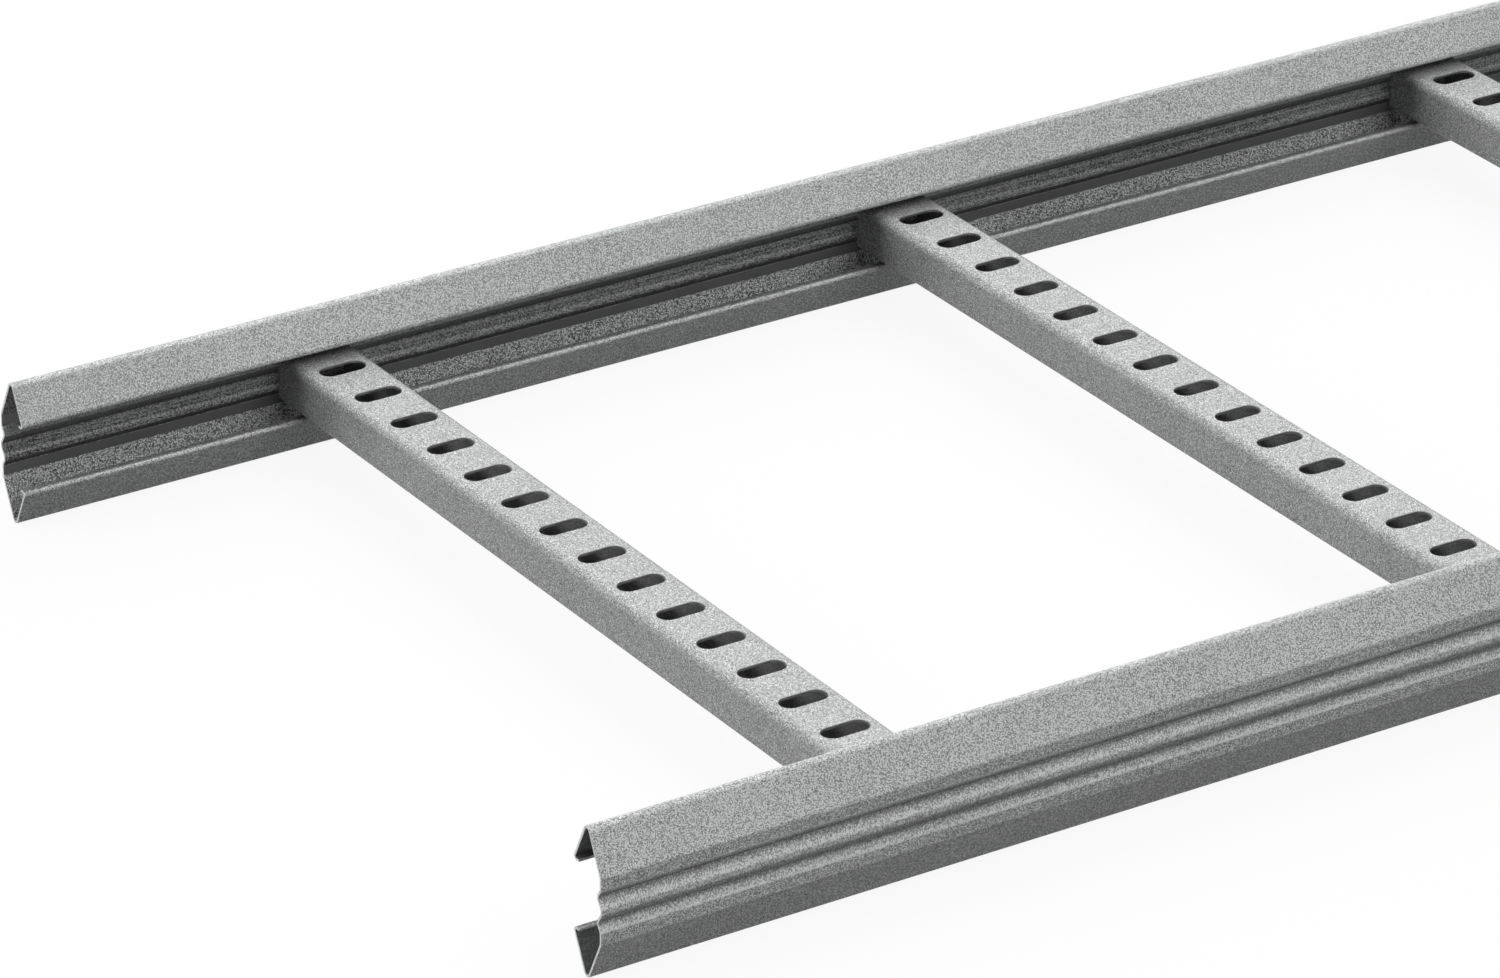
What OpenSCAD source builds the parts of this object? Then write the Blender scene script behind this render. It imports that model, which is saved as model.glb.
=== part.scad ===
// Cable ladder section: two roll-formed side rails joined by twelve slotted
// C-shaped rungs, in galvanised steel sheet. Millimetres.
// X runs along the rails, Y across them and Z up. The origin is on the floor
// under the middle of the ladder, which lies on the lower folds of its rails.

/* [Overall] */
// width over the outer faces of the two side rails
overall_w = 400; // [200:50:600]
// distance from one rung's centre line to the next
rung_pitch = 250; // [200:25:300]
// distance from a rail end to the nearest rung's centre line
end_offset = 125; // [40:5:150]

/* [Side rails] */
// height of a side rail
rail_h = 54.5; // [50:0.5:70]
// sheet thickness of a side rail
rail_t = 1; // [0.8:0.1:1.5]
// from a rail's outer face in to the centre of its folds
fold_in = 9; // [8.5:0.5:12]
// outside radius of the top and bottom folds
fold_r = 2; // [1.8:0.1:3]
// lean of the outer slope from the vertical, in degrees
slope_a = 25.5; // [22:0.5:28]
// lean of the inner flange from the vertical, in degrees
flange_a = 26; // [18:1:28]
// open height between the two return lips
lip_gap = 24; // [22:0.5:28]
// reach of a return lip from the flange's corner line
lip_reach = 3; // [2.5:0.1:5]
// outside radius of the lip bends
lip_r = 1.5; // [1.5:0.1:2]
// set-back of the web's flat bands from its middle crown
band_in = 0.5; // [0.2:0.1:1]
// set-back of the groove floors from the web's middle crown
groove_in = 2; // [1.5:0.1:2.6]
// height of a groove floor's middle above or below the crown
groove_off = 4.7; // [4.5:0.1:5.5]
// width of a groove floor
groove_floor = 1.2; // [1:0.1:1.6]
// distance from a groove floor's middle to the edge of the flat band
groove_run = 3; // [2.8:0.1:3.2]
// width of the middle crown
crown_w = 1.6; // [1.2:0.1:2]
// middle radius of the web's bends
web_bend_r = 0.9; // [0.8:0.1:1]
// middle radius of the bend between the flat band and the slope
shoulder_r = 1.5; // [1:0.5:4]

/* [Rungs] */
// width of a rung
rung_w = 28; // [26:1:40]
// height of a rung
rung_h = 18; // [14:0.5:20]
// sheet thickness of a rung
rung_t = 1; // [0.8:0.1:1.5]
// drop from the rail's top to the rungs' top face
rung_drop = 19; // [17:0.5:21]
// outside radius of a rung's upper edges
rung_top_r = 3.5; // [2.5:0.1:4]
// outside radius of a rung's lower edges
rung_low_r = 2; // [1.6:0.1:3]
// reach of a rung's lower lips from its side
rung_lip = 6; // [4:0.5:9]

/* [Slots] */
// length of a slot, along the rails
slot_l = 18; // [12:0.5:19]
// width of a slot
slot_w = 7.8; // [5:0.2:10]
// distance from one slot's centre to the next
slot_pitch = 25; // [20:1:50]
// least sheet left between a slot and the rail's inner flange
slot_margin = 2; // [1:0.5:10]

/* [Hidden] */
NODES = ["side_rail_left", "side_rail_right", "rung_01", "rung_02", "rung_03",
         "rung_04", "rung_05", "rung_06", "rung_07", "rung_08", "rung_09",
         "rung_10", "rung_11", "rung_12"];

steel = [0.72, 0.74, 0.75];
round_fn = 64;
bend_step = 9; // largest angle between two faces of a bend
cut_over = 1; // how far a cutter runs past what it cuts

rung_count = len(NODES) - 2;
rail_len = (rung_count - 1) * rung_pitch + 2 * end_offset;
first_rung_x = end_offset - rail_len / 2;
web_face = overall_w / 2;
mid_h = rail_h / 2;
rung_top = rail_h - rung_drop;
rung_half_len = web_face - groove_in - rail_t; // rung ends seat on the grooves' inner faces
slot_reach = web_face - fold_in - (mid_h - lip_gap / 2) * tan(flange_a);
slot_side_n = floor((slot_reach - slot_w / 2 - slot_margin) / slot_pitch);

// a straight line in the section as [normal, distance], and where two meet
function meet(a, b) =
    let (n = a[0], m = b[0], det = n.x * m.y - n.y * m.x)
    [(a[1] * m.y - b[1] * n.y) / det, (n.x * b[1] - m.x * a[1]) / det];
function unit(v) = v / norm(v);

// Middle line of the rail's sheet, in (outward, height above mid height).
fold_c = [web_face - fold_in, mid_h - fold_r];
fold_mid_r = fold_r - rail_t / 2;
slope_n = [cos(slope_a), sin(slope_a)];
flange_n = [-cos(flange_a), sin(flange_a)];
slope_line = [slope_n, slope_n * fold_c + fold_mid_r];
flange_line = [flange_n, flange_n * fold_c + fold_mid_r];
band_line = [[1, 0], web_face - band_in - rail_t / 2];
lip_line = [[0, 1], (lip_gap + rail_t) / 2];

lip_corner = meet(lip_line, flange_line);
band_x = band_line[1];
floor_x = web_face - groove_in - rail_t / 2;
crown_x = web_face - rail_t / 2;

// upper half of the middle line, from the lip's edge to the crown: [point, bend radius]
half_path = [
    [lip_corner + [lip_reach, 0], 0],
    [lip_corner, lip_r - rail_t / 2],
    [meet(flange_line, slope_line), fold_mid_r],
    [meet(slope_line, band_line), shoulder_r],
    [[band_x, groove_off + groove_run], web_bend_r],
    [[floor_x, groove_off + groove_floor / 2], web_bend_r],
    [[floor_x, groove_off - groove_floor / 2], web_bend_r],
    [[crown_x, crown_w / 2], web_bend_r]];

function lower(path) = [for (i = [len(path) - 1 : -1 : 0])
    [[path[i][0].x, -path[i][0].y], path[i][1]]];
rail_path = concat(half_path, lower(half_path));

// Outline of a sheet of thickness t bent along a path of [corner, middle radius].
function left(u) = [-u.y, u.x];
function spin(v, a) = [v.x * cos(a) - v.y * sin(a), v.x * sin(a) + v.y * cos(a)];
function corner_points(path, i, side_t) =
    let (last = len(path) - 1,
         u = unit(path[max(i, 1)][0] - path[max(i, 1) - 1][0]),
         v = unit(path[min(i, last - 1) + 1][0] - path[min(i, last - 1)][0]),
         s = sign(left(u) * v),
         turn = acos(min(1, u * v)),
         r = path[i][1],
         c = path[i][0] - u * r * tan(turn / 2) + s * r * left(u),
         n = ceil(turn / bend_step))
    i == 0 || i == last
        ? [path[i][0] + left(u) * side_t]
        : [for (j = [0 : n]) c - s * spin(left(u), s * turn * j / n) * (r - s * side_t)];
function face_points(path, side_t) =
    [for (i = [0 : len(path) - 1]) each corner_points(path, i, side_t)];
function backward(list) = [for (i = [len(list) - 1 : -1 : 0]) list[i]];

module bent_sheet(path, t) {
    polygon(concat(face_points(path, t / 2), backward(face_points(path, -t / 2))));
}

module rail_section() {
    translate([0, mid_h])
        bent_sheet(rail_path, rail_t);
}

// Middle line of the rung's sheet, in (along the rails, height), open below.
rung_side = (rung_w - rung_t) / 2;
rung_roof = rung_top - rung_t / 2;
rung_foot = rung_top - rung_h + rung_t / 2;
rung_lip_x = rung_w / 2 - rung_lip;
rung_path = [
    [[-rung_lip_x, rung_foot], 0],
    [[-rung_side, rung_foot], rung_low_r - rung_t / 2],
    [[-rung_side, rung_roof], rung_top_r - rung_t / 2],
    [[rung_side, rung_roof], rung_top_r - rung_t / 2],
    [[rung_side, rung_foot], rung_low_r - rung_t / 2],
    [[rung_lip_x, rung_foot], 0]];

module slot_cutter() {
    straight_l = slot_l - slot_w;
    translate([0, 0, rung_top - rung_t - cut_over])
        linear_extrude(rung_t + 2 * cut_over) {
            square([straight_l, slot_w], center = true);
            for (s = [-1, 1])
                translate([s * straight_l / 2, 0])
                    circle(d = slot_w, $fn = round_fn);
        }
}

module side_rail(side) {
    color(steel)
        translate([-rail_len / 2, 0, 0])
            rotate([90, 0, 90])
                linear_extrude(rail_len)
                    mirror([side < 0 ? 1 : 0, 0])
                        rail_section();
}

module rung(number) {
    color(steel)
        translate([first_rung_x + (number - 1) * rung_pitch, 0, 0])
            difference() {
                translate([0, rung_half_len, 0])
                    rotate([90, 0, 0])
                        linear_extrude(2 * rung_half_len)
                            bent_sheet(rung_path, rung_t);
                for (k = [-slot_side_n : slot_side_n])
                    translate([0, k * slot_pitch, 0])
                        slot_cutter();
            }
}

side_rail(1);  // side_rail_left
side_rail(-1);  // side_rail_right
rung(1);  // rung_01
rung(2);  // rung_02
rung(3);  // rung_03
rung(4);  // rung_04
rung(5);  // rung_05
rung(6);  // rung_06
rung(7);  // rung_07
rung(8);  // rung_08
rung(9);  // rung_09
rung(10);  // rung_10
rung(11);  // rung_11
rung(12);  // rung_12
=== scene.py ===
import math

import bmesh
import bpy
from mathutils import Matrix, Vector


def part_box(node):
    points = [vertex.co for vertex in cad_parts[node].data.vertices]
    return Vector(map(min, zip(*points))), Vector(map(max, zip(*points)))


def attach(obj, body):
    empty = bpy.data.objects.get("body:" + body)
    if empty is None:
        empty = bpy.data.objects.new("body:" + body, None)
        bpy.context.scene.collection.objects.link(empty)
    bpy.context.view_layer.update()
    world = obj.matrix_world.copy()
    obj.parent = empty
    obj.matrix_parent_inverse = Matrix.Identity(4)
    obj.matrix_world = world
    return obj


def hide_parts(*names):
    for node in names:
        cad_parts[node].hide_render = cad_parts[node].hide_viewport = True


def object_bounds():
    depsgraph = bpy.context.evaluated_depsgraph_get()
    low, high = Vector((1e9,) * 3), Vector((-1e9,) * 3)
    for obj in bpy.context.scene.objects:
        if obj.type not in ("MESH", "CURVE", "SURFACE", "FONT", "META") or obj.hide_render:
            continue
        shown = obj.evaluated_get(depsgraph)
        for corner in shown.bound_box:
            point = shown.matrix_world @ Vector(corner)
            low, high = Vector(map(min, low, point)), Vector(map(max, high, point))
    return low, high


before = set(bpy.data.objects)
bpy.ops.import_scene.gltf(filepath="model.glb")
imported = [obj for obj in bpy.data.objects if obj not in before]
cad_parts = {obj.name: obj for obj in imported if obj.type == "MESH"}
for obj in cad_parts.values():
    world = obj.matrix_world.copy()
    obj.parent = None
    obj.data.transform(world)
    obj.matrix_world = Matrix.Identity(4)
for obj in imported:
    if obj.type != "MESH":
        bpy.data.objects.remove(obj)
CAD_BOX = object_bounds()

MM = 0.001

# Sheet and bends of the side rails. Their height, width and length come from the frame.
RAIL_SHEET = 1.0 * MM
FOLD_IN = 9.0 * MM
FOLD_R = 2.0 * MM
SLOPE_LEAN = math.radians(25.5)
FLANGE_LEAN = math.radians(26)
LIP_GAP = 24.0 * MM
LIP_REACH = 3.0 * MM
LIP_R = 1.5 * MM
BAND_IN = 0.5 * MM
GROOVE_IN = 2.0 * MM
GROOVE_OFF = 4.7 * MM
GROOVE_FLOOR = 1.2 * MM
GROOVE_RUN = 3.0 * MM
CROWN_W = 1.6 * MM
WEB_BEND_R = 0.9 * MM
SHOULDER_R = 1.5 * MM

# Sheet, bends and slots of the rungs
RUNG_SHEET = 1.0 * MM
RUNG_TOP_R = 3.5 * MM
RUNG_LOW_R = 2.0 * MM
RUNG_LIP = 6.0 * MM
SLOT_L = 18.0 * MM
SLOT_W = 7.8 * MM
SLOT_PITCH = 25.0 * MM
SLOT_COUNT = 15

# How round the sheared edges are, and into how many faces bends and rounds are cut
CUT_R = 0.12 * MM
TIP_R = 0.16 * MM
PUNCH_R = 0.28 * MM
BURR_R = 0.08 * MM
BEND_STEP = math.radians(5)
SLOT_ARC_STEPS = 14
ROUND_STEPS = 3

# The camera, which looks down on the start of the ladder
CAMERA_AT = (-2.65564, -2.04797, 1.24764)
CAMERA_HEADING = math.radians(33.2118)
CAMERA_DIP = math.radians(26.1713)
CAMERA_ROLL = math.radians(0.5262)
CAMERA_LENS = 190.071
SENSOR_WIDTH = 36.0
CAMERA_RANGE = (0.1, 200)

# Soft lamps: strength, then spread, heading clockwise from +Y and height above the floor in degrees
LAMPS = {
    "back_top_softbox": (0.42, 70, 20, 55),
    "front_top_softbox": (0.393, 60, 146, 58),
    "left_softbox": (0.405, 50, -68, 22),
    "back_softbox": (0.21, 40, 50, 35),
}
WORLD_LIGHT = 0.12

# The floor: half its side and its drop below the part, in metres, its shades, and how much it glows
FLOOR_HALF = 60.0
FLOOR_DROP = 0.02 * MM
FLOOR_BOUNCE = 0.03
FLOOR_SHADE = 0.9
FLOOR_GLOW = 0.91

# A piece's materials, by their place in its list. A rung has the first three.
(OUTSIDE, SHEARED, INSIDE, OUTER_RIBS, INNER_RIBS,
 INNER_FLAT, RIB_SHADE, FLANGE, FLANGE_BACK, LIP) = range(10)

# Parts of a unit normal on a rail's inner side past which the finish changes: down, up or down, and inwards
TURNED_DOWN = -0.3
TURNED_FLAT = 0.9
TURNED_IN = -0.999

# Zinc coat: size of its crystals and of its lighter and darker grains, and how uneven it is at large
CRYSTAL = 0.25 * MM
GRAIN = 0.25 * MM
CLOUD = 35 * MM
CLOUDING = 0.10
STREAK = 1.2 * MM
STREAKING = 0.06
ALONG_SHEET = (0.01, 1, 1)

# Which of its grains sparkle and how light they are, the painted shade that dims it at an outline, and its
# shine and tint
SPARKLING = [(0.90, 0.0), (0.98, 1.0)]
SPARKLE_SHADE = 0.9
PAINTED_RIM_SHADE = [(0.80, 1.0), (0.97, 0.4)]
ZINC_ROUGHNESS = 0.42
ZINC_SHINE = 0.02
ZINC_SPECULAR = 0.25
ZINC_TINT = (0.985, 1.0, 0.998)
MEAN_SQUARE = 1 / 3  # of a tone that is spread evenly from 0 to 1

# The web's smooth inner flat, and sheared edges: the size of their streaks, lines and clouding, and how
# deep
ROLL_STREAK = 1.5 * MM
ROLL_CLOUD = 20 * MM
SHEAR_LINE = 0.25 * MM
SHEAR_CLOUD = 3 * MM
SHEAR_DEPTH = 0.02 * MM

# The rail's middle height, and the rails' outer faces
RAIL_MID = (CAD_BOX[0][2] + CAD_BOX[1][2]) / 2
RAIL_FACE = CAD_BOX[1][1]


def on_rail(tones):
    """How light it is painted up a rail, from pairs of a height above its middle in mm and a share."""
    return "Z", [(RAIL_MID + height * MM, share) for height, share in tones]


def near_rails(tones):
    """How light it is near a rung's ends, from pairs of mm in from the rails' faces and a share."""
    places = [(RAIL_FACE - inset * MM, share) for inset, share in tones]
    return "Y", [(-place, share) for place, share in places[::-1]] + places


# Painted reflection and shade: lighter and darker lines up the web, and painted shade on a rung's ends.
# They were set one by one, and stand in for the dark surroundings that bare steel mirrors, which a white
# studio doesn't have, and for the shade that the rails cast on the rungs' ends.
OUTER_PAINTED_SHADE_LINES = on_rail([
    (-8.0, 1.25), (-7.5, 1.5), (-6.8, 1.2), (-6.4, 1.05), (-5.6, 0.93), (-4.7, 0.76), (-4.2, 0.80),
    (-2.9, 0.96), (-2.0, 1.2), (-1.4, 1.4), (-0.8, 1.16), (0.8, 1.16), (1.9, 1.26), (2.8, 1.0),
    (4.2, 0.66), (4.7, 0.70), (5.3, 0.68), (5.9, 0.78), (6.7, 1.7), (7.4, 1.95), (8.0, 1.35)])
INNER_PAINTED_SHADE_LINES = on_rail([
    (-7.6, 0.9), (-7.0, 0.5), (-6.2, 0.87), (-5.0, 0.62), (-4.2, 0.85), (-3.4, 1.6), (-2.9, 1.0),
    (-2.5, 0.6), (-2.1, 1.0), (-1.3, 0.75), (-0.8, 1.55), (0.2, 1.1), (1.2, 0.9), (2.5, 1.8),
    (3.3, 2.9), (4.2, 2.5), (5.2, 1.5)])
# Painted shade: the rail's inner slopes are darker towards the bottom, under the flange
INNER_SLOPE_PAINTED_SHADE = on_rail([(-24.0, 0.75), (-17.5, 0.88), (-15.0, 1.02), (-12.0, 1.1), (12.0, 1.0)])
# Painted shade: a rung is darker close to the rails, where they shade it
PAINTED_SHADE_AT_ENDS = near_rails([
    (90, 1.0), (60, 0.96), (26, 0.94), (22, 0.86), (18, 0.73), (16, 0.80), (10, 1.0)])


# Section lines

def left(v):
    return Vector((-v.y, v.x))


def turned(v, angle):
    c, s = math.cos(angle), math.sin(angle)
    return Vector((v.x * c - v.y * s, v.x * s + v.y * c))


def meet(a, b):
    """Where two straight lines of a section meet, each given as (normal, distance)."""
    (n, p), (m, q) = a, b
    det = n.x * m.y - n.y * m.x
    return Vector(((p * m.y - q * n.y) / det, (n.x * q - m.x * p) / det))


def middle_line(corners):
    """(point, normal) along the middle of a sheet bent at (corner, middle radius) places."""
    points = [Vector(corner) for corner, _ in corners]
    heads = [(b - a).normalized() for a, b in zip(points, points[1:])]
    line = [(points[0], left(heads[0]))]
    for corner, (_, radius), u, v in zip(points[1:], corners[1:], heads, heads[1:]):
        turn = math.atan2(u.x * v.y - u.y * v.x, u.dot(v))
        side = math.copysign(1, turn)
        centre = corner - u * radius * math.tan(abs(turn) / 2) + side * radius * left(u)
        steps = math.ceil(abs(turn) / BEND_STEP)
        for step in range(steps + 1):
            normal = turned(left(u), turn * step / steps)
            line.append((centre - side * radius * normal, normal))
    line.append((points[-1], left(heads[-1])))
    return line


def rail_line(web_face, foot, top):
    """Middle line of a side rail's sheet, in (outward, up)."""
    rail_h = top - foot
    mid = Vector((0, foot + rail_h / 2))
    fold = Vector((web_face - FOLD_IN, rail_h / 2 - FOLD_R))
    fold_r = FOLD_R - RAIL_SHEET / 2
    slope_n = Vector((math.cos(SLOPE_LEAN), math.sin(SLOPE_LEAN)))
    flange_n = Vector((-math.cos(FLANGE_LEAN), math.sin(FLANGE_LEAN)))
    slope = (slope_n, slope_n.dot(fold) + fold_r)
    flange = (flange_n, flange_n.dot(fold) + fold_r)
    band = (Vector((1, 0)), web_face - BAND_IN - RAIL_SHEET / 2)
    lip_corner = meet((Vector((0, 1)), (LIP_GAP + RAIL_SHEET) / 2), flange)
    floor_x = web_face - GROOVE_IN - RAIL_SHEET / 2
    crown_x = web_face - RAIL_SHEET / 2
    upper = [
        (lip_corner + Vector((LIP_REACH, 0)), 0),
        (lip_corner, LIP_R - RAIL_SHEET / 2),
        (meet(flange, slope), fold_r),
        (meet(slope, band), SHOULDER_R),
        (Vector((band[1], GROOVE_OFF + GROOVE_RUN)), WEB_BEND_R),
        (Vector((floor_x, GROOVE_OFF + GROOVE_FLOOR / 2)), WEB_BEND_R),
        (Vector((floor_x, GROOVE_OFF - GROOVE_FLOOR / 2)), WEB_BEND_R),
        (Vector((crown_x, CROWN_W / 2)), WEB_BEND_R),
    ]
    lower = [(Vector((corner.x, -corner.y)), radius) for corner, radius in reversed(upper)]
    return middle_line([(corner + mid, radius) for corner, radius in upper + lower])


def rung_line(low, high):
    """Middle line of a rung's sheet, in (along the rails from its centre, up), open below."""
    side = (high.x - low.x - RUNG_SHEET) / 2
    roof = high.z - RUNG_SHEET / 2
    foot = low.z + RUNG_SHEET / 2
    lip_x = (high.x - low.x) / 2 - RUNG_LIP
    return middle_line([
        (Vector((-lip_x, foot)), 0),
        (Vector((-side, foot)), RUNG_LOW_R - RUNG_SHEET / 2),
        (Vector((-side, roof)), RUNG_TOP_R - RUNG_SHEET / 2),
        (Vector((side, roof)), RUNG_TOP_R - RUNG_SHEET / 2),
        (Vector((side, foot)), RUNG_LOW_R - RUNG_SHEET / 2),
        (Vector((lip_x, foot)), 0),
    ])


# Sheet meshes

def tip_round(point, normal, ahead, sheet):
    """(point, normal) round a sheet's sheared edge, from its left face to its right face."""
    arc = []
    for side, start in ((1, 0), (-1, ROUND_STEPS)):
        centre = point + normal * side * (sheet / 2 - TIP_R) - ahead * TIP_R
        for step in range(ROUND_STEPS + 1):
            angle = abs(start - step) / ROUND_STEPS * math.pi / 2
            out = normal * side * math.cos(angle) + ahead * math.sin(angle)
            arc.append((centre + out * TIP_R, out))
    return arc


def sheet_ring(line, sheet):
    """(point, normal) all round a bent sheet, and how many of them are on one of its faces."""
    (first, first_n), (last, last_n) = line[0], line[-1]
    inner = line[1:-1]
    left_face = [(p + n * sheet / 2, n) for p, n in inner]
    right_face = [(p - n * sheet / 2, -n) for p, n in reversed(inner)]
    end_tip = tip_round(last, last_n, turned(last_n, -math.pi / 2), sheet)
    start_tip = tip_round(first, -first_n, turned(first_n, math.pi / 2), sheet)
    return left_face + end_tip + right_face + start_tip, len(left_face), len(end_tip)


class SheetMesh:
    """A sheet section swept along one axis, with rounded sheared ends.

    finish_at says which material a stretch has, from its middle, its normal and whether it is inside."""

    def __init__(self, line, sheet, place, finish_at):
        self.bm = bmesh.new()
        self.ring, self.face_n, self.tip_n = sheet_ring(line, sheet)
        self.place = place
        self.finishes = [self.finish_of(i, finish_at) for i in range(len(self.ring))]

    def finish_of(self, i, finish_at):
        if self.on_tip(i):
            return SHEARED
        (a, normal), (b, other) = self.ring[i], self.ring[(i + 1) % len(self.ring)]
        return finish_at((a + b) / 2, (normal + other) / 2, i >= self.face_n + self.tip_n - 1)

    def vert(self, point, along):
        return self.bm.verts.new(self.place(point, along))

    def ring_at(self, along, inset=0.0):
        return [self.vert(point - normal * inset, along) for point, normal in self.ring]

    def end_rings(self, end, inward):
        """Rings from a sheared end inwards, the first of them round the cut face itself."""
        rings = []
        for step in range(ROUND_STEPS + 1):
            angle = math.pi / 2 * (1 - step / ROUND_STEPS)
            inset = CUT_R * (1 - math.cos(angle))
            rings.append(self.ring_at(end + inward * CUT_R * (1 - math.sin(angle)), inset))
        return rings

    def face(self, verts, material):
        face = self.bm.faces.new(verts)
        face.material_index = material
        face.smooth = True

    def quads(self, ring_a, ring_b, finishes, skip=()):
        """Faces between two rings of points, each with its own finish."""
        for i in range(len(ring_a)):
            if i not in skip:
                j = (i + 1) % len(ring_a)
                self.face([ring_a[i], ring_a[j], ring_b[j], ring_b[i]], finishes[i])

    def strip(self, ring_a, ring_b, skip=()):
        """The sheet's faces between two rings of its section."""
        self.quads(ring_a, ring_b, self.finishes, skip)

    def on_tip(self, i):
        """Whether the ring's stretch after point i is on a sheared edge."""
        second = self.face_n + self.tip_n + self.face_n
        return self.face_n <= i < self.face_n + self.tip_n - 1 or second <= i < second + self.tip_n - 1

    def cap(self, ring):
        """The cut face of a sheared end, as quads across the sheet and one face at each tip."""
        count = len(ring)
        across = [(i, self.face_n + self.tip_n + self.face_n - 1 - i) for i in range(self.face_n)]
        for (a, b), (c, d) in zip(across, across[1:]):
            self.face([ring[a], ring[c], ring[d], ring[b]], SHEARED)
        first_tip = range(self.face_n - 1, self.face_n + self.tip_n + 1)
        second_tip = range(count - self.tip_n - 1, count + 1)
        self.face([ring[i] for i in first_tip], SHEARED)
        self.face([ring[i % count] for i in second_tip], SHEARED)

    def finished(self, name, materials):
        bmesh.ops.recalc_face_normals(self.bm, faces=self.bm.faces)
        mesh = bpy.data.meshes.new(name)
        self.bm.to_mesh(mesh)
        self.bm.free()
        for material in materials:
            mesh.materials.append(material)
        piece = bpy.data.objects.new(name, mesh)
        bpy.context.scene.collection.objects.link(piece)
        normals = piece.modifiers.new("face_weighted_normals", "WEIGHTED_NORMAL")
        normals.mode = "FACE_AREA"
        normals.weight = 90
        return piece


def rail_finish(mid_height, web_face):
    """A function that says which finish a stretch of a rail has, from its place on the section."""
    rib_end = GROOVE_OFF + GROOVE_RUN
    web_start = web_face - FOLD_IN / 2

    def finish_at(point, normal, inner):
        on_ribs = abs(point.y - mid_height) < rib_end
        on_web = point.x > web_start
        if not inner:
            # The lips get zinc with painted shade and highlight
            if not on_web and abs(point.y - mid_height) < LIP_GAP / 2 + LIP_R:
                return LIP
            if normal.x < 0:
                return FLANGE
            return OUTER_RIBS if on_ribs else OUTSIDE
        # Inner rib flanks that face down, the backs of flanges and lips, and the web's inner flat get
        # painted shade
        if on_ribs and on_web:
            return RIB_SHADE if normal.y < TURNED_DOWN else INNER_RIBS
        if normal.x > 0 or not on_web and abs(normal.y) > TURNED_FLAT:
            return FLANGE_BACK
        return INNER_FLAT if normal.x < TURNED_IN else INSIDE
    return finish_at


def rung_finish(point, normal, inner):
    return INSIDE if inner else OUTSIDE


def make_rail(node, materials):
    low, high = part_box(node)
    side = math.copysign(1, low.y + high.y)
    web_face = max(abs(low.y), abs(high.y))
    finish_at = rail_finish((low.z + high.z) / 2, web_face)
    line = rail_line(web_face, low.z, high.z)
    rail = SheetMesh(line, RAIL_SHEET, lambda p, x: (x, side * p.x, p.y), finish_at)
    start = rail.end_rings(low.x, 1)
    finish = rail.end_rings(high.x, -1)
    rings = start + finish[::-1]
    for ring_a, ring_b in zip(rings, rings[1:]):
        rail.strip(ring_a, ring_b)
    rail.cap(start[0])
    rail.cap(finish[0])
    return rail.finished(node + "_rolled", materials)


def slot_outline(spread):
    """Points round a slot, from its +X end over its +Y side, with its edge moved out by spread."""
    radius = SLOT_W / 2 + spread
    straight = (SLOT_L - SLOT_W) / 2
    points = []
    for end, start in ((1, -math.pi / 2), (-1, math.pi / 2)):
        for step in range(SLOT_ARC_STEPS + 1):
            angle = start + math.pi * step / SLOT_ARC_STEPS
            points.append(Vector((end * straight + radius * math.cos(angle), radius * math.sin(angle))))
    half = SLOT_ARC_STEPS // 2
    return points[half:] + points[:half]


def punch_slot(rung, centre_y, roof, under):
    """The wall of one slot. Returns its rims on the roof's upper and lower faces."""
    levels = []
    for step in range(ROUND_STEPS + 1):
        angle = math.pi / 2 * step / ROUND_STEPS
        levels.append((roof - PUNCH_R * (1 - math.cos(angle)), PUNCH_R * (1 - math.sin(angle))))
    levels += [(under + BURR_R, 0), (under, BURR_R)]
    rings = []
    for height, spread in levels:
        outline = slot_outline(spread)
        rings.append([rung.vert(Vector((p.x, height)), centre_y + p.y) for p in outline])
    for ring_a, ring_b in zip(rings, rings[1:]):
        rung.quads(ring_a, ring_b, [SHEARED] * len(ring_a))
    return rings[0], rings[-1]


def punched_face(rung, rings, index, rim):
    """One of the roof's two faces round a slot, as two halves between three rings of the section."""
    near, middle, far = rings
    half = len(rim) // 2
    low_x = min((index, index + 1), key=lambda i: rung.ring[i][0].x)
    high_x = 2 * index + 1 - low_x
    upper = [rim[i] for i in range(half + 1)]
    lower = [rim[i % len(rim)] for i in range(half, len(rim) + 1)]
    finish = rung.finishes[index]
    rung.face([middle[low_x], far[low_x], far[high_x], middle[high_x]] + upper, finish)
    rung.face([middle[high_x], near[high_x], near[low_x], middle[low_x]] + lower, finish)


def make_rung(node, materials):
    low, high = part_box(node)
    centre_x = (low.x + high.x) / 2
    rung = SheetMesh(rung_line(low, high), RUNG_SHEET, lambda p, y: (centre_x + p.x, y, p.y), rung_finish)
    roof, under = high.z, high.z - RUNG_SHEET
    flat = [i for i in range(len(rung.ring) - 1)
            if abs(rung.ring[i][0].x - rung.ring[i + 1][0].x) > SLOT_L]
    start = rung.end_rings(low.y, 1)
    finish = rung.end_rings(high.y, -1)
    rung.cap(start[0])
    rung.cap(finish[0])
    rings = start + finish[::-1]
    for ring_a, ring_b in zip(rings, rings[1:]):
        if ring_a is not start[-1]:
            rung.strip(ring_a, ring_b)
    first_y = -(SLOT_COUNT - 1) / 2 * SLOT_PITCH
    far = rung.ring_at(first_y - SLOT_PITCH / 2)
    rung.strip(start[-1], far)
    for number in range(SLOT_COUNT):
        centre_y = first_y + number * SLOT_PITCH
        near = far
        middle = rung.ring_at(centre_y)
        far = rung.ring_at(centre_y + SLOT_PITCH / 2)
        rung.strip(near, middle, skip=flat)
        rung.strip(middle, far, skip=flat)
        rims = punch_slot(rung, centre_y, roof, under)
        for index in flat:
            on_roof = abs(rung.ring[index][0].y - roof) < RUNG_SHEET / 2
            punched_face(rung, (near, middle, far), index, rims[0] if on_roof else rims[1])
    rung.strip(far, finish[-1])
    return rung.finished(node + "_pressed", materials)


# Finishes

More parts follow.
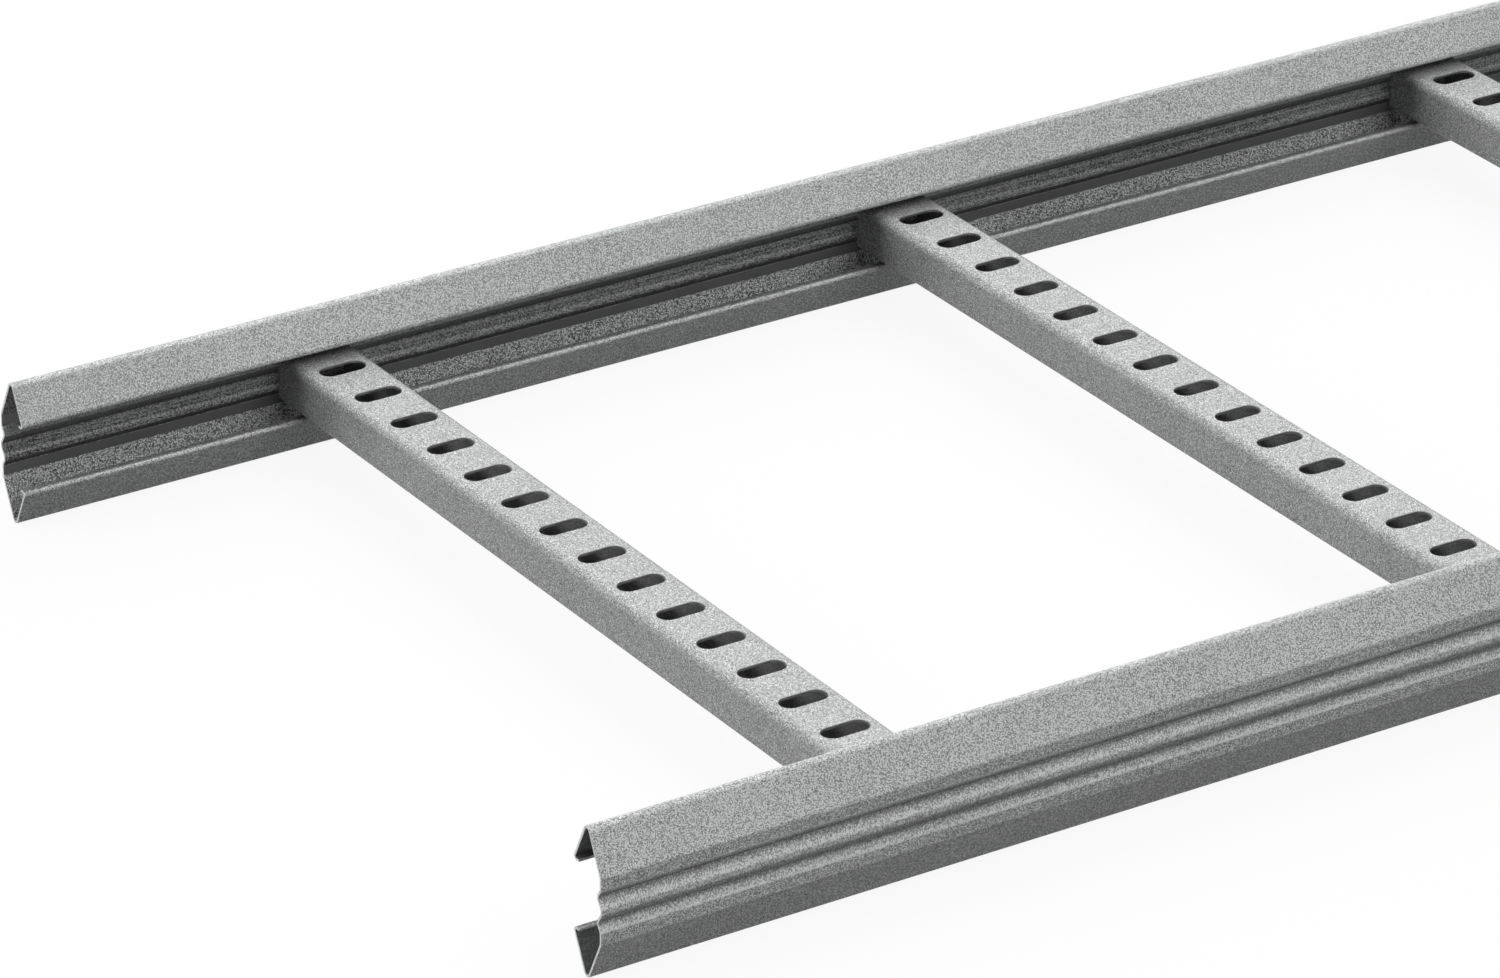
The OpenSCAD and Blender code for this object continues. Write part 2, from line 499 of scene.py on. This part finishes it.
class Value:
    """A shader socket that adds a Math node for each operator used on it."""

    def __init__(self, finish, socket):
        self.finish = finish
        self.socket = socket

    def maths(self, operation, a, b):
        node = self.finish.add("ShaderNodeMath", {"operation": operation}, {0: a, 1: b})
        return Value(self.finish, node.outputs[0])

    def __add__(self, other):
        return self.maths("ADD", self, other)

    def __radd__(self, other):
        return self.maths("ADD", other, self)

    def __sub__(self, other):
        return self.maths("SUBTRACT", self, other)

    def __rsub__(self, other):
        return self.maths("SUBTRACT", other, self)

    def __mul__(self, other):
        return self.maths("MULTIPLY", self, other)

    def __rmul__(self, other):
        return self.maths("MULTIPLY", other, self)


class Finish:
    """A material that is being made, node by node, or the world where a tree is given."""

    def __init__(self, name, tree=None):
        self.material = None if tree else bpy.data.materials.new(name)
        if self.material:
            self.material.use_nodes = True
        self.tree = tree or self.material.node_tree
        self.tree.nodes.clear()

    def add(self, kind, settings=None, inputs=None):
        """A node of that kind. Its settings go in first, then its sockets' values or links."""
        node = self.tree.nodes.new(kind)
        for key, setting in (settings or {}).items():
            if key == "stops":
                self.set_stops(node.color_ramp, setting)
            else:
                setattr(node, key, setting)
        for key, given in (inputs or {}).items():
            if isinstance(given, Value):
                self.tree.links.new(given.socket, node.inputs[key])
            else:
                node.inputs[key].default_value = given
        return node

    def set_stops(self, ramp, stops):
        while len(ramp.elements) < len(stops):
            ramp.elements.new(0.5)
        for element, (position, shade) in zip(ramp.elements, stops):
            element.position = position
            element.color = (shade, shade, shade, 1)

    def out(self, node, key=0):
        return Value(self, node.outputs[key])

    def place(self, stretch=(1, 1, 1)):
        """Where a point is on the ladder, in metres, stretched along the axes."""
        coordinates = self.out(self.add("ShaderNodeTexCoord"), "Object")
        return self.vector_maths("MULTIPLY", coordinates, stretch)

    def noise(self, size, detail=2.0, rough=0.5, stretch=(1, 1, 1)):
        """Noise from 0 to 1 with features of that size in metres."""
        inputs = {"Vector": self.place(stretch), "Scale": 1 / size, "Detail": detail, "Roughness": rough}
        return self.out(self.add("ShaderNodeTexNoise", None, inputs))

    def cells(self, size, stretch=(1, 1, 1)):
        """A random colour for each of many cells of that size in metres."""
        inputs = {"Vector": self.place(stretch), "Scale": 1 / size}
        return self.out(self.add("ShaderNodeTexVoronoi", None, inputs), "Color")

    def facing_up(self):
        """0 where the surface faces down, 0.5 where it is upright and 1 where it faces up."""
        normal = self.out(self.add("ShaderNodeNewGeometry"), "Normal")
        height = self.out(self.add("ShaderNodeSeparateXYZ", None, {"Vector": normal}), "Z")
        return 0.5 + 0.5 * height

    def rim(self):
        """Painted shade: 1 on what faces the viewer, and less towards an outline."""
        facing = self.out(self.add("ShaderNodeLayerWeight", None, {"Blend": 0.5}), "Facing")
        return self.ramp(facing, PAINTED_RIM_SHADE)

    def across(self, axis, tones):
        """How light it is painted along an axis, from pairs of a place in metres and a share."""
        low, high = tones[0][0], tones[-1][0]
        place = self.out(self.add("ShaderNodeSeparateXYZ", None, {"Vector": self.place()}), axis)
        stops = [((at - low) / (high - low), share) for at, share in tones]
        return self.ramp((place - low) * (1 / (high - low)), stops)

    def red(self, colour):
        return self.out(self.add("ShaderNodeSeparateColor", None, {"Color": colour}))

    def vector_maths(self, operation, *given):
        return self.out(self.add("ShaderNodeVectorMath", {"operation": operation}, dict(enumerate(given))))

    def lean(self, random_colour, tilt):
        """The surface's normal, leaned by up to tilt in the direction that a random colour says."""
        aside = self.vector_maths("SUBTRACT", random_colour, (0.5, 0.5, 0.5))
        aside = self.vector_maths("MULTIPLY", aside, (2 * tilt, 2 * tilt, 2 * tilt))
        normal = self.out(self.add("ShaderNodeNewGeometry"), "Normal")
        return self.vector_maths("NORMALIZE", self.vector_maths("ADD", normal, aside))

    def ramp(self, value, stops):
        return self.out(self.add("ShaderNodeValToRGB", {"stops": stops}, {"Fac": value}))

    def mix(self, factor, a, b):
        """A colour between a and b."""
        inputs = {"Factor": factor, 6: a, 7: b}
        return self.out(self.add("ShaderNodeMix", {"data_type": "RGBA"}, inputs), 2)

    def shade(self, level, value):
        """Grey that has that value where the level is 0.5, and is darker or lighter with the level."""
        return self.mix(level, grey(0), grey(2 * value))

    def close(self, shader):
        self.add("ShaderNodeOutputMaterial", None, {"Surface": shader})
        return self.material


def grey(value):
    return tuple(value * part for part in ZINC_TINT) + (1,)


def white(value):
    return (value, value, value, 1)


def zinc(name, shade, contrast, tilt, sparkle, shine=ZINC_SHINE, stretch=(1, 1, 1), streaking=STREAKING,
         painted_facing_light=None, tones=None):
    """Galvanised sheet: a fine mosaic of zinc crystals, each tilted its own way, with faint clouding.

    With a list of stops for how it faces, it is lighter or darker as the surface turns from down to up:
    painted light and shade.
    With tones, from on_rail or near_rails, it is lighter or darker in some places across the part."""
    f = Finish(name)
    crystals = f.cells(CRYSTAL, stretch)
    tone = f.red(f.cells(GRAIN, stretch))
    cloud = f.noise(CLOUD, detail=3, rough=0.6)
    streak = f.noise(STREAK, detail=2, stretch=ALONG_SHEET)
    bright = f.ramp(tone, SPARKLING)
    level = 0.5 + contrast * (tone * tone - MEAN_SQUARE)
    level = level + CLOUDING * (cloud - 0.5) + streaking * (streak - 0.5)
    # Painted light and shade by which way the surface faces
    if painted_facing_light:
        level = level * f.ramp(f.facing_up(), painted_facing_light)
    if tones:
        level = level * f.across(*tones)
    # Painted shade, dimming it towards an outline
    level = level * f.rim()
    inputs = {
        "Base Color": f.mix(bright * sparkle, f.shade(level, shade), grey(SPARKLE_SHADE)),
        "Metallic": shine + 0.15 * bright,
        "Roughness": ZINC_ROUGHNESS - 0.1 * bright + 0.1 * (cloud - 0.5),
        "Specular IOR Level": ZINC_SPECULAR,
        "Normal": f.lean(crystals, tilt),
    }
    return f.close(f.out(f.add("ShaderNodeBsdfPrincipled", None, inputs)))


def smooth_band_painted_shade(name, shade):
    """The web's inner flat: dull and smooth, with hardly any grain, and darker than the zinc around it:
    painted shade.
    """
    f = Finish(name)
    streak = f.noise(ROLL_STREAK, detail=2, stretch=ALONG_SHEET)
    cloud = f.noise(ROLL_CLOUD, detail=3)
    level = 0.5 + 0.12 * (streak - 0.5) + 0.2 * (cloud - 0.5)
    inputs = {"Base Color": f.shade(level, shade), "Metallic": 0.2, "Roughness": 0.6}
    return f.close(f.out(f.add("ShaderNodeBsdfPrincipled", None, inputs)))


def sheared_edge(name, shade):
    """Cut steel edge: brighter, with fine shear lines across the sheet."""
    f = Finish(name)
    lines = f.noise(SHEAR_LINE, detail=2)
    cloud = f.noise(SHEAR_CLOUD, detail=2)
    level = 0.5 + 0.4 * (lines - 0.5) + 0.4 * (cloud - 0.5)
    bump = f.add("ShaderNodeBump", None, {"Strength": 0.6, "Distance": SHEAR_DEPTH, "Height": lines})
    inputs = {
        "Base Color": f.shade(level, shade),
        "Metallic": 0.5,
        "Roughness": 0.45 + 0.2 * (cloud - 0.5),
        "Normal": f.out(bump),
    }
    return f.close(f.out(f.add("ShaderNodeBsdfPrincipled", None, inputs)))


def studio_floor(name):
    """Pale floor. It shows white with the ladder's soft shadow, and bounces little light back up."""
    f = Finish(name)
    path = f.add("ShaderNodeLightPath")
    seen = f.out(path, "Is Camera Ray") + f.out(path, "Is Glossy Ray") + f.out(path, "Is Transmission Ray")
    dim = f.out(f.add("ShaderNodeBsdfDiffuse", None, {"Color": grey(FLOOR_BOUNCE)}))
    shaded = f.out(f.add("ShaderNodeBsdfDiffuse", None, {"Color": white(FLOOR_SHADE)}))
    glow = f.out(f.add("ShaderNodeEmission", None, {"Color": white(1), "Strength": 1.0}))
    pale = f.out(f.add("ShaderNodeMixShader", None, {0: FLOOR_GLOW, 1: shaded, 2: glow}))
    return f.close(f.out(f.add("ShaderNodeMixShader", None, {0: seen, 1: dim, 2: pale})))


# Stage, light and camera

def make_floor():
    bm = bmesh.new()
    corners = [(-FLOOR_HALF, -FLOOR_HALF), (FLOOR_HALF, -FLOOR_HALF),
               (FLOOR_HALF, FLOOR_HALF), (-FLOOR_HALF, FLOOR_HALF)]
    bm.faces.new([bm.verts.new((x, y, -FLOOR_DROP)) for x, y in corners])
    mesh = bpy.data.meshes.new("studio_floor")
    bm.to_mesh(mesh)
    bm.free()
    mesh.materials.append(studio_floor("pale_floor"))
    floor = bpy.data.objects.new("studio_floor", mesh)
    bpy.context.scene.collection.objects.link(floor)


def make_lamp(name, strength, spread, heading, height):
    """A big soft lamp far off, on the side that its heading and height give, in degrees."""
    lamp = bpy.data.lights.new(name, "SUN")
    lamp.energy = strength * math.pi
    lamp.angle = math.radians(spread)
    holder = bpy.data.objects.new(name, lamp)
    turn, rise = math.radians(heading), math.radians(height)
    towards = Vector((math.sin(turn) * math.cos(rise), math.cos(turn) * math.cos(rise), math.sin(rise)))
    holder.rotation_euler = towards.to_track_quat("Z", "Y").to_euler()
    bpy.context.scene.collection.objects.link(holder)


def make_world(level):
    """Soft light from all round."""
    world = bpy.data.worlds.new("studio")
    world.use_nodes = True
    f = Finish("studio", world.node_tree)
    background = f.add("ShaderNodeBackground", None, {"Color": white(1), "Strength": level})
    f.add("ShaderNodeOutputWorld", None, {"Surface": f.out(background)})
    bpy.context.scene.world = world


def make_camera():
    camera = bpy.data.cameras.new("camera")
    camera.lens = CAMERA_LENS
    camera.sensor_width = SENSOR_WIDTH
    camera.sensor_fit = "HORIZONTAL"
    camera.clip_start, camera.clip_end = CAMERA_RANGE
    holder = bpy.data.objects.new("camera", camera)
    heading = Matrix.Rotation(-CAMERA_HEADING, 4, "Z")
    dip = Matrix.Rotation(math.pi / 2 - CAMERA_DIP, 4, "X")
    roll = Matrix.Rotation(CAMERA_ROLL, 4, "Z")
    holder.matrix_world = Matrix.Translation(CAMERA_AT) @ heading @ dip @ roll
    bpy.context.scene.collection.objects.link(holder)
    bpy.context.scene.camera = holder


# Painted light: lighter than the rungs' same zinc, lighter or darker by how it faces, with painted fold
# highlights
RAIL_OUTSIDE = zinc(
    "rail_zinc", shade=0.73, contrast=0.94, tilt=0.17, sparkle=0.3,
    painted_facing_light=[(0.285, 0.91), (0.33, 1.05), (0.40, 1.25), (0.47, 1.2), (0.49, 1.0), (0.51, 1.0),
             (0.53, 1.25), (0.60, 1.3), (0.70, 1.2), (0.79, 1.42), (0.88, 1.05), (0.97, 0.78)])
# Painted light: a copy of the rails' zinc for the inner flanges, with a painted highlight along the folds
RAIL_FLANGE = zinc(
    "flange_zinc", shade=0.665, contrast=0.90, tilt=0.17, sparkle=0.25,
    painted_facing_light=[(0.28, 0.98), (0.5, 1.05), (0.70, 1.18), (0.79, 1.6), (0.88, 1.38), (0.97, 0.96)])
# Painted shade: the inner slopes get darker towards the bottom
RAIL_INSIDE = zinc(
    "rail_inner_zinc", shade=0.695, contrast=1.25, tilt=0.35, sparkle=0.9, stretch=(0.75, 0.75, 0.75),
    tones=INNER_SLOPE_PAINTED_SHADE)
# Painted reflection and shade: lines up the outer web, and lighter or darker by which way it faces
RAIL_RIBS = zinc(
    "ribbed_zinc", shade=0.73, contrast=0.78, tilt=0.12, sparkle=0.3, stretch=(1.2, 0.6, 0.6),
    painted_facing_light=[(0.22, 0.70), (0.5, 0.98), (0.75, 1.12)], tones=OUTER_PAINTED_SHADE_LINES)
# Painted reflection and shade: lighter and darker lines up the inner web
RAIL_INNER_RIBS = zinc(
    "ribbed_inner_zinc", shade=0.62, contrast=1.0, tilt=0.25, sparkle=1.0, stretch=(0.7, 0.8, 0.8),
    streaking=0.6, tones=INNER_PAINTED_SHADE_LINES)
# Painted shade: dark zinc on the inner ribs' down-facing flanks
RAIL_RIB_SHADE = zinc(
    "rib_shade_zinc", shade=0.20, contrast=0.5, tilt=0.10, sparkle=0.1, stretch=(0.5, 1, 1),
    tones=INNER_PAINTED_SHADE_LINES)
# Painted shade: the web's inner flat is darker than the zinc around it
RAIL_INNER_FLAT = smooth_band_painted_shade("smooth_flat_painted_shade", 0.275)
# Painted shade: dark zinc on the backs of the flanges and lips, inside the rail
RAIL_FLANGE_BACK_PAINTED_SHADE = zinc("flange_back_painted_shade_zinc", shade=0.24, contrast=0.5, tilt=0.15, sparkle=0.1)
# Painted shade and highlight: a lighter copy of the zinc for the lips, dark where they face up or down,
# bright on the bends
RAIL_LIP_PAINTED_LIGHT = zinc(
    "lip_painted_light_zinc", shade=0.92, contrast=0.98, tilt=0.2, sparkle=0.6,
    painted_facing_light=[(0.01, 0.5), (0.22, 1.0), (0.60, 1.0), (0.78, 1.15), (0.97, 0.25)])
RAIL_EDGE = sheared_edge("rail_sheared_edge", 0.70)
# Painted shade: darker than the rails' same zinc, since the rungs' tops catch more light, and darker near
# the rails
RUNG_OUTSIDE = zinc(
    "rung_zinc", shade=0.485, contrast=0.90, tilt=0.11, sparkle=0.2, shine=0.03, tones=PAINTED_SHADE_AT_ENDS)
# Painted shade: the rungs' insides are darker than their outsides
RUNG_INSIDE_PAINTED_SHADE = zinc("rung_inner_painted_shade_zinc", shade=0.33, contrast=0.60, tilt=0.10, sparkle=0.1)
# Painted shade: the rungs' sheared steel, mostly slot walls, is darker than the rails' edges
RUNG_EDGE_PAINTED_SHADE = sheared_edge("rung_sheared_edge_painted_shade", 0.28)

RAIL_FINISHES = [RAIL_OUTSIDE, RAIL_EDGE, RAIL_INSIDE, RAIL_RIBS, RAIL_INNER_RIBS,
                 RAIL_INNER_FLAT, RAIL_RIB_SHADE, RAIL_FLANGE, RAIL_FLANGE_BACK_PAINTED_SHADE, RAIL_LIP_PAINTED_LIGHT]
RUNG_FINISHES = [RUNG_OUTSIDE, RUNG_EDGE_PAINTED_SHADE, RUNG_INSIDE_PAINTED_SHADE]

for node in sorted(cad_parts):
    if node.startswith("side_rail"):
        piece = make_rail(node, RAIL_FINISHES)
    else:
        piece = make_rung(node, RUNG_FINISHES)
    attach(piece, "root")
    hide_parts(node)

make_floor()
make_world(WORLD_LIGHT)
for name, light in LAMPS.items():
    make_lamp(name, *light)
make_camera()
bpy.context.scene.view_settings.view_transform = "Standard"
